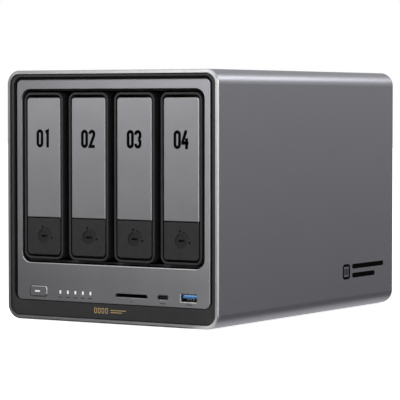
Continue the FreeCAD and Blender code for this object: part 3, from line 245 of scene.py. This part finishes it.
for name, color, roughness, metallic in (
    ("connector_steel", (0.55, 0.55, 0.56), 0.28, 1.0),
    ("steel_screw", (0.25, 0.25, 0.26), 0.35, 1.0),
    ("magnet_plating", (0.6, 0.6, 0.6), 0.25, 1.0),
    ("circuit_board", (0.01, 0.045, 0.03), 0.4, 0.0),
    ("plated_sheet", (0.05, 0.05, 0.052), 0.5, 0.6),
    ("cooler_aluminium", (0.6, 0.6, 0.6), 0.35, 1.0),
    ("standoff_brass", (0.6, 0.42, 0.16), 0.3, 1.0),
    # painted highlight along the steel lip of the front port
    ("lip_edge", (0.9, 0.9, 0.9), 0.4, 0.6),
    # painted highlight on the top of the front port's tongue
    ("tongue_light", (0.22, 0.45, 0.75), 0.35, 0.0),
    ("contact_grey", (0.10, 0.10, 0.11), 0.4, 0.5),
    ("ink_dark", (0.035, 0.035, 0.038), 0.55, 0.0),
    ("ink_gold", (0.42, 0.29, 0.13), 0.4, 0.3),
    # painted shade for the insides of the sockets
    ("socket_dark", (0.012, 0.012, 0.013), 0.5, 0.0),
    ("tongue_blue", (0.03, 0.12, 0.29), 0.35, 0.0),
    ("contact_gold", (0.8, 0.6, 0.25), 0.25, 1.0),
    ("window_amber", (0.35, 0.2, 0.05), 0.2, 0.0),
):
    MADE[name] = plain(name, color, roughness, metallic)

# cut metal: the rim's turned edge is a real brighter finish, and all of these also carry painted
# light
for name, color, roughness in (
    ("rim_cut", (0.62, 0.62, 0.63), 0.34),
    # a darker copy of the rim metal for its chamfer: painted shade
    ("rim_bevel", (0.42, 0.42, 0.43), 0.38),
    ("cut_edge", (0.30, 0.30, 0.31), 0.38),
    ("plate_edge", (0.26, 0.26, 0.27), 0.38),
    # a lighter copy of the cut metal: painted highlight on bevels and under the slots
    ("bright_edge", (0.66, 0.66, 0.67), 0.36),
):
    MADE[name] = cut_metal_painted_light(name, color, roughness)

MADE["ink_black"] = black_ink()
MADE["light_pipe"] = light_pipe()

slot_of = {row["node"]: row["material_slot"] for row in frame["record"]["subparts"]}
for name, item in nodes.items():
    item.data.materials.clear()
    item.data.materials.append(MADE[slot_of[name]])


# ---------------------------------------------------------------- small pieces

def solid(name, outlines, depth, put, body, material):
    """One thin piece made of flat outlines, each given depth; put maps (u, v, w) to a place."""
    mesh = bmesh.new()
    for outline in outlines:
        near = [mesh.verts.new(put(u, v, depth)) for u, v in outline]
        far = [mesh.verts.new(put(u, v, 0.0)) for u, v in outline]
        mesh.faces.new(near)
        mesh.faces.new(list(reversed(far)))
        for index in range(len(outline)):
            after = (index + 1) % len(outline)
            mesh.faces.new((near[after], near[index], far[index], far[after]))
    bmesh.ops.recalc_face_normals(mesh, faces=mesh.faces)
    data = bpy.data.meshes.new(name)
    mesh.to_mesh(data)
    mesh.free()
    item = bpy.data.objects.new(name, data)
    bpy.context.scene.collection.objects.link(item)
    data.materials.append(material)
    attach(item, body)


def on_front(x, y, z):
    """Places a mark on a surface that faces the front."""
    return lambda u, v, w: Vector((x + u * MM, y - w * MM, z + v * MM))


def on_right(x, y, z):
    """Places a mark on the right side."""
    return lambda u, v, w: Vector((x + w * MM, y + u * MM, z + v * MM))


def on_back(x, y, z):
    """Places a mark on a surface that faces the back."""
    return lambda u, v, w: Vector((x - u * MM, y + w * MM, z + v * MM))


def arc(across, up, radius, start, end, steps=10):
    """Points on a circle, from one angle to another in degrees."""
    points = []
    for index in range(steps + 1):
        angle = math.radians(start + (end - start) * index / steps)
        points.append((across + radius * math.cos(angle), up + radius * math.sin(angle)))
    return points


def disc(across, up, radius):
    """A full circle as one outline."""
    return arc(across, up, radius, 0, 360, 20)[:-1]


def round_slab(across, up, width, tall, radius):
    """A rectangle with rounded corners, as one outline."""
    dx = width / 2 - radius
    dz = tall / 2 - radius
    points = []
    for sx, sz, start in ((1, 1, 0), (-1, 1, 90), (-1, -1, 180), (1, -1, 270)):
        points += arc(across + sx * dx, up + sz * dz, radius, start, start + 90, 5)
    return points


def middle_across(node):
    """Where the middle of a node lies across the object, in metres."""
    low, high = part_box(node)
    return (low.x + high.x) / 2


def band(path, width, closed=False):
    """Outlines of a band of even width along a path, one outline for each straight step."""
    count = len(path)
    pairs = []
    for index in range(count):
        here = Vector(path[index])
        before = Vector(path[index - 1]) if (closed or index) else here
        after = Vector(path[(index + 1) % count]) if (closed or index + 1 < count) else here
        coming = (here - before).normalized() if here != before else (after - here).normalized()
        going = (after - here).normalized() if here != after else coming
        side = Vector((-(coming.y + going.y), coming.x + going.x)).normalized()
        reach = width / 2 / max(0.4, side.dot(Vector((-coming.y, coming.x))))
        pairs.append((here - side * reach, here + side * reach))
    steps = count if closed else count - 1
    outlines = []
    for index in range(steps):
        a = pairs[index]
        b = pairs[(index + 1) % count]
        outlines.append([tuple(a[0]), tuple(b[0]), tuple(b[1]), tuple(a[1])])
    return outlines


# ---------------------------------------------------------------- tray numbers

DIGIT_HALF = 1.85      # half the width of a digit's centre line
DIGIT_TALL = 5.3       # half its height
DIGIT_LINE = 2.3       # the width of its strokes
DIGIT_SHIFT = 3.15     # from the number's middle to each digit's
NUMBER_DROP = 28.8     # from the top of the handle to the number's middle
PRINT = 0.02           # the thickness of printed marks


def digit_paths(digit):
    """Centre lines of a bold, narrow digit about its own middle, in millimetres."""
    w = DIGIT_HALF
    h = DIGIT_TALL
    straight = h - w
    if digit == 0:
        return [(arc(0, straight, w, 0, 180) + arc(0, -straight, w, 180, 360), True)]
    if digit == 1:
        return [([(-1.5, h - 0.9), (0.5, h), (0.5, -h - DIGIT_LINE / 2)], False)]
    if digit == 2:
        top = arc(0, straight, w, 180, -10)
        return [(top + [(w - 0.4, straight - 1.6), (-w + 0.2, -h), (w + 0.6, -h)], False)]
    if digit == 3:
        high = [(-w, straight - 0.4)] + arc(0, straight, w, 180, 0) + [(w, 1.7), (0.5, 0.15)]
        low = [(0.5, 0.15), (w, -1.3)] + arc(0, -straight, w, 0, -180) + [(-w, 0.4 - straight)]
        return [(high, False), (low, False)]
    slope = [(0.9, h + DIGIT_LINE / 2), (-w, -1.5), (-w, -2.3), (w + 1.0, -2.3)]
    return [(slope, False), ([(1.25, 1.0), (1.25, -h - DIGIT_LINE / 2)], False)]


def number_outlines(number):
    """Outlines of a zero and the tray's own digit, side by side."""
    outlines = []
    for digit, shift in ((0, -DIGIT_SHIFT), (number, DIGIT_SHIFT)):
        for path, closed in digit_paths(digit):
            moved = [(u + shift, v) for u, v in path]
            outlines += band(moved, DIGIT_LINE, closed)
    return outlines


def tray_numbers():
    """Printed numbers on the handles."""
    for tray in TRAYS:
        handle = f"tray_handle_{tray}"
        low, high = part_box(handle)
        put = on_front(middle_across(handle), low.y, high.z - NUMBER_DROP * MM)
        solid(f"tray_number_{tray}", number_outlines(tray), PRINT, put, f"handle_{tray}",
              MADE["ink_black"])


# ---------------------------------------------------------------- marks on the outside

LOCK_DOTS = ((-1.0, 6.6), (6.8, -1.0))
LOCK_DOT_RADIUS = 0.8
LOCK_ARC = {"radius": 6.2, "start": 8, "end": 78, "width": 0.42}
LIGHT_COUNT = 5
LIGHT_DASH = {"up": 17.3, "width": 3.6, "inset": 0.85}
PORT_DASH_UP = 16.6
PORT_DASH_WIDTHS = {"sd_card_slot": 1.6, "usb_c_port": 4.6, "usb_a_port": 5.6}
DASH_TALL = 0.7
CHIN_DRIVES = {"first": -12.9, "pitch": 3.1, "up": 9.3, "width": 1.7, "tall": 3.3, "line": 0.5}
CHIN_LINES = ((6.2, 9.9, 13.0), (4.6, 8.4, 9.8))
SIDE_START = (47.5, 23.4)      # the side mark's own zero, along Y and Z
SIDE_LINES = ((39.7, 9.3, 50.0), (32.7, 2.6, 36.0))


def lock_marks():
    """A dot above and a dot beside each lock, with a fine arc between them."""
    for tray in TRAYS:
        low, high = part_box(f"tray_lock_{tray}")
        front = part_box(f"tray_latch_{tray}")[0].y
        put = on_front((low.x + high.x) / 2, front, (low.z + high.z) / 2)
        outlines = [disc(across, up, LOCK_DOT_RADIUS) for across, up in LOCK_DOTS]
        sweep = arc(0, 0, LOCK_ARC["radius"], LOCK_ARC["start"], LOCK_ARC["end"], 12)
        outlines += band(sweep, LOCK_ARC["width"])
        solid(f"lock_marks_{tray}", outlines, PRINT, put, f"latch_{tray}",
              MADE["ink_black"])


def port_marks():
    """Small plain dashes under the lights and the front ports."""
    low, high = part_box("led_light_pipes")
    first = low.x + LIGHT_DASH["inset"] * MM
    last = high.x - LIGHT_DASH["inset"] * MM
    pitch = (last - first) / (LIGHT_COUNT - 1)
    outlines = []
    for index in range(LIGHT_COUNT):
        outlines.append(round_slab((first + index * pitch) / MM, LIGHT_DASH["up"],
                                   LIGHT_DASH["width"], DASH_TALL, 0.3))
    for node, width in PORT_DASH_WIDTHS.items():
        outlines.append(round_slab(middle_across(node) / MM, PORT_DASH_UP, width, DASH_TALL, 0.3))
    solid("port_marks", outlines, PRINT, on_front(0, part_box("front_plate")[0].y, 0), "enclosure",
          MADE["ink_dark"])


def chin_mark():
    """A small gold mark of four drive outlines and two lines, on the frame below the plate."""
    outlines = []
    for index in range(4):
        across = CHIN_DRIVES["first"] + index * CHIN_DRIVES["pitch"]
        drive = round_slab(across, CHIN_DRIVES["up"], CHIN_DRIVES["width"], CHIN_DRIVES["tall"], 0.4)
        outlines += band(drive, CHIN_DRIVES["line"], True)
    for across, up, width in CHIN_LINES:
        outlines.append(round_slab(across, up, width, 0.55, 0.2))
    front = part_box("front_bezel_frame")[0].y
    solid("chin_mark", outlines, PRINT, on_front(0, front, 0), "enclosure",
          MADE["ink_gold"])


def side_mark():
    """A plain dark mark low on the right side: a square with drive bars, and two lines."""
    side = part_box("outer_shell")[1].x
    outlines = band(round_slab(5.8, 5.8, 9.4, 9.4, 1.6), 2.0, True)
    for index in range(3):
        outlines.append(round_slab(3.5 + index * 2.3, 5.8, 1.3, 5.0, 0.4))
    for across, up, width in SIDE_LINES:
        outlines.append(round_slab(across, up, width, 3.6, 1.7))
    along, height = SIDE_START
    solid("side_mark", outlines, PRINT, on_right(side, along * MM, height * MM), "enclosure",
          MADE["ink_black"])


# ---------------------------------------------------------------- ports

USB_C_UP = 20.9                # heights of the sockets' middles
USB_A_UP = 21.3
JACK_UP = 22.0
REAR_USB_UP = 19.45
REAR_USB_ACROSS = (-34.0, -19.5, -5.0)
JACK_ACROSS = (-69.0, -51.0)
JACK_HALF_PITCH = 9.0
JACK_FLOOR = 15.6              # the height that a jack's contacts and windows are drawn from
SOCKET_LIP = 0.15              # how deep the shining rim of a socket goes
SLOT_UP = 20.9
LIP_TALL = 0.5
# painted highlights under the card slot and the oval port: node, half width, drop
SLOT_LIP_HIGHLIGHTS = (("sd_card_slot", 12.5, -1.6), ("usb_c_port", 3.2, -2.0))
CONTACT_COUNT = 8
CONTACT_PITCH = 1.02


def paint_faces(node, material, chosen):
    """Gives the chosen faces of a CAD node a second finish."""
    data = nodes[node].data
    data.materials.append(material)
    number = len(data.materials) - 1
    for face in data.polygons:
        if chosen(face):
            face.material_index = number


def inside(face, across, up, half_width, half_tall):
    """True if the face's middle lies within a rectangle seen from the front, in millimetres."""
    x = face.center.x / MM - across
    z = face.center.z / MM - up
    return abs(x) < half_width and abs(z) < half_tall


def port_insides():
    """Painted shade in the sockets: their insides are painted dark, so that only their rims shine.
    """
    for node, up, half_width, half_tall in (
        ("usb_c_port", USB_C_UP, 4.25, 1.32),
        ("usb_a_port", USB_A_UP, 6.2, 2.5),
    ):
        across = middle_across(node) / MM
        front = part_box(node)[0].y + SOCKET_LIP * MM
        paint_faces(node, MADE["socket_dark"],
                    lambda f, a=across, u=up, w=half_width, t=half_tall, y=front:
                    inside(f, a, u, w, t) and f.center.y > y)
    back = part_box("ethernet_jacks")[1].y - SOCKET_LIP * MM
    for side in (-JACK_HALF_PITCH, JACK_HALF_PITCH):
        across = middle_across("ethernet_jacks") / MM + side
        paint_faces("ethernet_jacks", MADE["socket_dark"],
                    lambda f, a=across: inside(f, a, JACK_UP, 6.1, 6.0) and f.center.y < back)


def front_usb():
    """Blue tongue, a painted highlight on its top, its contacts and a painted highlight along the
    steel lip of the wide front port.
    """
    middle = middle_across("usb_a_port")
    put = on_front(middle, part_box("usb_a_port")[0].y + 1.1 * MM, USB_A_UP * MM)
    solid("usb_front_tongue", [round_slab(0, 0.95, 11.6, 2.5, 0.3)], -6.0, put, "enclosure",
          MADE["tongue_blue"])
    # painted highlight along the top of the tongue
    solid("usb_front_painted_highlight", [round_slab(0.6, 1.55, 10.0, 0.7, 0.2)], 0.05, put, "enclosure",
          MADE["tongue_light"])
    strips = [round_slab(-1.5 + index * 2.3, -1.05, 1.5, 1.1, 0.2) for index in range(3)]
    solid("usb_front_contacts", strips, -3.0, put, "enclosure",
          MADE["contact_grey"])
    # painted highlight: a fine bright band along the port's left and lower lip
    lip = [(-6.75, 2.6), (-6.75, -3.05), (6.3, -3.05)]
    put = on_front(middle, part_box("front_plate")[0].y, USB_A_UP * MM)
    solid("usb_front_lip_painted_highlight", band(lip, 0.42), PRINT, put, "enclosure",
          MADE["lip_edge"])


def rear_usb():
    """Blue tongues in the three rear ports."""
    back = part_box("rear_usb_ports")[1].y - 1.1 * MM
    for index, across in enumerate(REAR_USB_ACROSS):
        put = on_back(across * MM, back, REAR_USB_UP * MM)
        solid(f"usb_rear_tongue_{index + 1}", [round_slab(0, 0.95, 11.4, 2.3, 0.35)], -6.0,
              put, "enclosure", MADE["tongue_blue"])


def slot_lip_highlights():
    """Painted highlights: fine bright bands under the card slot and the oval port, where their lower
    chamfers would shine.
    """
    outlines = []
    for node, half, drop in SLOT_LIP_HIGHLIGHTS:
        outlines.append(round_slab(middle_across(node) / MM, drop, 2 * half, LIP_TALL, 0.2))
    put = on_front(0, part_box("front_plate")[0].y, SLOT_UP * MM)
    solid("slot_lip_highlights", outlines, PRINT, put, "enclosure", MADE["bright_edge"])


def jack_contacts():
    """Eight fine contacts and two small windows in each network jack."""
    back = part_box("ethernet_jacks")[1].y
    first = -3.5 * CONTACT_PITCH
    for index, across in enumerate(JACK_ACROSS):
        put = on_back(across * MM, back - 1.6 * MM, JACK_FLOOR * MM)
        strips = [round_slab(first + pin * CONTACT_PITCH, 10.55, 0.42, 0.36, 0.1)
                  for pin in range(CONTACT_COUNT)]
        solid(f"jack_contacts_{index + 1}", strips, -9.0, put, "enclosure",
              MADE["contact_gold"])
        put = on_back(across * MM, back, JACK_FLOOR * MM)
        windows = [round_slab(side * 4.9, 12.35, 3.0, 1.5, 0.2) for side in (-1, 1)]
        solid(f"jack_windows_{index + 1}", windows, 0.05, put, "enclosure",
              MADE["window_amber"])


# ---------------------------------------------------------------- rear screen

SCREEN_PITCH = 2.9             # between neighbouring holes
SCREEN_RIM = 1.0               # plain edge round the holes
SCREEN_THICK = 0.8
HOLE_SHARE = 0.78              # a hole's size against its cell's


def screen_faces(mesh, low, high):
    """Fills the frame with hexagon cells, each a ring of six faces round a hole."""
    pitch = SCREEN_PITCH * MM
    outer = pitch / math.sqrt(3)
    inner = outer * HOLE_SHARE
    rise = pitch * math.sqrt(3) / 2
    made = {}

    def corner(x, z, edge):
        x = min(max(x, low.x + edge), high.x - edge)
        z = min(max(z, low.z + edge), high.z - edge)
        key = (round(x * 2e5), round(z * 2e5))
        if key not in made:
            made[key] = mesh.verts.new((x, high.y, z))
        return made[key]

    def hexagon(x, z, radius, edge):
        angles = [math.radians(30 + 60 * step) for step in range(6)]
        return [corner(x + radius * math.cos(a), z + radius * math.sin(a), edge) for a in angles]

    for row in range(int((high.z - low.z) / rise) + 2):
        for column in range(int((high.x - low.x) / pitch) + 2):
            x = low.x + (column + 0.5 * (row % 2)) * pitch
            z = low.z + row * rise
            out = hexagon(x, z, outer, 0)
            hole = hexagon(x, z, inner, SCREEN_RIM * MM)
            for step in range(6):
                after = (step + 1) % 6
                ring = [out[step], out[after], hole[after], hole[step]]
                if len(set(ring)) == 4 and not mesh.faces.get(ring):
                    mesh.faces.new(ring)


def rear_screen():
    """Sheet with a honeycomb of holes that stands for the plain screen in the filter frame."""
    mesh = bmesh.new()
    screen_faces(mesh, *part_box("rear_filter_mesh"))
    bmesh.ops.recalc_face_normals(mesh, faces=mesh.faces)
    data = bpy.data.meshes.new("rear_screen")
    mesh.to_mesh(data)
    mesh.free()
    if data.polygons[0].normal.y < 0:
        data.flip_normals()
    item = bpy.data.objects.new("rear_screen", data)
    bpy.context.scene.collection.objects.link(item)
    data.materials.append(MADE["filter_dark"])
    thick = item.modifiers.new("thickness", "SOLIDIFY")
    thick.thickness = SCREEN_THICK * MM
    thick.offset = -1.0
    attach(item, "filter")
    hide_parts("rear_filter_mesh")


# ---------------------------------------------------------------- cut edges

BEVEL_REACH = 1.0              # how far back from a piece's front its bevels go
RIM_REACH = 0.9


def is_bevel(face, back):
    """True for a face in front of a plane that leans away from the front."""
    return face.center.y < back and 0.3 < -face.normal.y < 0.93


def cut_edges():
    """Bevels on the plate, the handles and the power button, with a painted highlight where they
    face up and all round the button.
    """
    for node, material in (
        ("front_plate", "plate_edge"),
        # the button's bevels all get the painted highlight
        ("power_button", "bright_edge"),
        *((f"tray_handle_{n}", "cut_edge") for n in TRAYS),
    ):
        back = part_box(node)[0].y + BEVEL_REACH * MM
        paint_faces(node, MADE[material], lambda f, y=back: is_bevel(f, y))
        paint_faces(node, MADE["bright_edge"],
                    # painted highlight: bevels that face up get the lighter copy of the cut metal
                    lambda f, y=back: is_bevel(f, y) and f.normal.z > 0.3)


def cut_rim():
    """The turned front edge of the sleeve is brighter than its blasted sides; its chamfer gets a
    darker copy of the same metal, a painted shade.
    """
    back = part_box("outer_shell")[0].y + RIM_REACH * MM
    paint_faces("outer_shell", MADE["rim_cut"],
                lambda f: f.center.y < back and f.normal.y < -0.9)
    # painted shade: the rim's chamfer faces get the darker copy
    paint_faces("outer_shell", MADE["rim_bevel"],
                lambda f: f.center.y < back and -0.9 <= f.normal.y < -0.2)


# ---------------------------------------------------------------- stage

SKY = {"low": 0.51, "high": 0.80}
# the floor's glow in shiny surfaces: left of the right side, beside it, and further right
FLOOR_GLOW = {"far": 0.0, "near": 0.8, "side": 0.12}
FLOOR_LIFT = 0.75              # added where the camera sees the floor itself
FLOOR_REACH = 6.0
SOFTBOXES = (
    # name, place, target, width, height, power
    ("front_top", (-0.35, -0.75, 0.55), (0.0, -0.12, 0.15), 0.5, 0.2, 5.0),
    ("rim_right", (1.6, -1.1, 0.35), (0.08, -0.12, 0.09), 1.0, 1.0, 7.5),
    ("right_top", (0.75, 0.9, 0.75), (0.09, -0.05, 0.15), 0.6, 0.3, 3.8),
)
CAMERA_TURN = 32.16            # degrees round from the front
CAMERA_RISE = 2.37             # degrees above level
CAMERA_PLACE = (0.8955, -1.43448, 0.1527)
CAMERA_LENS = 204.32


def softbox(name, place, target, width, height, power):
    """A rectangular softbox that the camera doesn't see."""
    data = bpy.data.lights.new(name, "AREA")
    data.shape = "RECTANGLE"
    data.size = width
    data.size_y = height
    data.energy = power
    lamp = bpy.data.objects.new(name, data)
    lamp.location = place
    lamp.rotation_euler = (Vector(target) - Vector(place)).to_track_quat("-Z", "Y").to_euler()
    lamp.visible_camera = False
    bpy.context.scene.collection.objects.link(lamp)


def ramp(tree, source, start, end, low, high):
    """Maps start..end smoothly to low..high."""
    node = tree.nodes.new("ShaderNodeMapRange")
    node.interpolation_type = "SMOOTHSTEP"
    node.inputs["From Min"].default_value = start
    node.inputs["From Max"].default_value = end
    node.inputs["To Min"].default_value = low
    node.inputs["To Max"].default_value = high
    tree.links.new(source, node.inputs["Value"])
    return node.outputs["Result"]


def feed(tree, socket, source):
    """Gives a socket a plain number, or links another node's output to it."""
    if isinstance(source, float):
        socket.default_value = source
    else:
        tree.links.new(source, socket)


def pick(tree, factor, low, high):
    """A value that goes from low to high with a factor."""
    node = tree.nodes.new("ShaderNodeMix")
    tree.links.new(factor, node.inputs["Factor"])
    feed(tree, node.inputs["A"], low)
    feed(tree, node.inputs["B"], high)
    return node.outputs["Result"]


def floor_paint():
    """Pale table top. Glossy surfaces see a lit strip beside the object and shade beyond."""
    paint = Paint("floor_white", (0.92, 0.92, 0.92), 0.7)
    paint.vary_roughness(0.2, 0.05)
    tree = paint.tree
    parts = tree.nodes.new("ShaderNodeSeparateXYZ")
    tree.links.new(paint.place, parts.inputs[0])
    path = tree.nodes.new("ShaderNodeLightPath")
    paint.set("Emission Color", (1.0, 1.0, 1.0, 1.0))
    lift = pick(tree, path.outputs["Is Camera Ray"], 0.0, FLOOR_LIFT)
    tree.links.new(lift, paint.shader.inputs["Emission Strength"])
    strip = ramp(tree, parts.outputs["X"], 0.084, 0.097, FLOOR_GLOW["near"], FLOOR_GLOW["side"])
    right = ramp(tree, parts.outputs["X"], 0.06, 0.075, 0.0, 1.0)
    glow = tree.nodes.new("ShaderNodeEmission")
    glow.inputs["Color"].default_value = (1.0, 1.0, 1.0, 1.0)
    tree.links.new(pick(tree, right, FLOOR_GLOW["far"], strip), glow.inputs["Strength"])
    mix = tree.nodes.new("ShaderNodeMixShader")
    tree.links.new(path.outputs["Is Glossy Ray"], mix.inputs[0])
    tree.links.new(paint.shader.outputs[0], mix.inputs[1])
    tree.links.new(glow.outputs[0], mix.inputs[2])
    tree.links.new(mix.outputs[0], tree.nodes["Material Output"].inputs["Surface"])
    return paint.material


def floor():
    """The table top that the object stands on."""
    mesh = bpy.data.meshes.new("floor")
    turns = ((-1, -1), (1, -1), (1, 1), (-1, 1))
    corners = [(x * FLOOR_REACH, y * FLOOR_REACH, 0) for x, y in turns]
    mesh.from_pydata(corners, [], [(0, 1, 2, 3)])
    item = bpy.data.objects.new("floor", mesh)
    bpy.context.scene.collection.objects.link(item)
    mesh.materials.append(floor_paint())


def sky():
    """White to the camera; for light, bright overhead and dim towards the horizon."""
    world = bpy.data.worlds.new("studio")
    bpy.context.scene.world = world
    world.use_nodes = True
    tree = world.node_tree
    background = tree.nodes["Background"]
    background.inputs["Color"].default_value = (1.0, 1.0, 1.0, 1.0)
    direction = tree.nodes.new("ShaderNodeTexCoord").outputs["Generated"]
    parts = tree.nodes.new("ShaderNodeSeparateXYZ")
    tree.links.new(direction, parts.inputs[0])
    shade = ramp(tree, parts.outputs["Z"], 0.25, 0.9, SKY["low"], SKY["high"])
    path = tree.nodes.new("ShaderNodeLightPath")
    strength = pick(tree, path.outputs["Is Camera Ray"], shade, 1.0)
    tree.links.new(strength, background.inputs["Strength"])


def camera():
    """A long lens, round from the front and just above level."""
    turn = math.radians(CAMERA_TURN)
    rise = math.radians(CAMERA_RISE)
    data = bpy.data.cameras.new("camera")
    data.sensor_width = 36.0
    data.lens = CAMERA_LENS
    data.clip_start = 0.05
    data.clip_end = 50.0
    item = bpy.data.objects.new("camera", data)
    back = Vector((math.sin(turn) * math.cos(rise), -math.cos(turn) * math.cos(rise),
                   math.sin(rise)))
    item.location = CAMERA_PLACE
    item.rotation_euler = (-back).to_track_quat("-Z", "Y").to_euler()
    bpy.context.scene.collection.objects.link(item)
    bpy.context.scene.camera = item


# ---------------------------------------------------------------- the scene

for make in (tray_numbers, lock_marks, port_marks, chin_mark, side_mark, port_insides,
             front_usb, rear_usb, slot_lip_highlights, jack_contacts, rear_screen, cut_edges, cut_rim):
    make()

bpy.context.scene.view_settings.view_transform = "Standard"
floor()
sky()
for settings in SOFTBOXES:
    softbox(*settings)
camera()
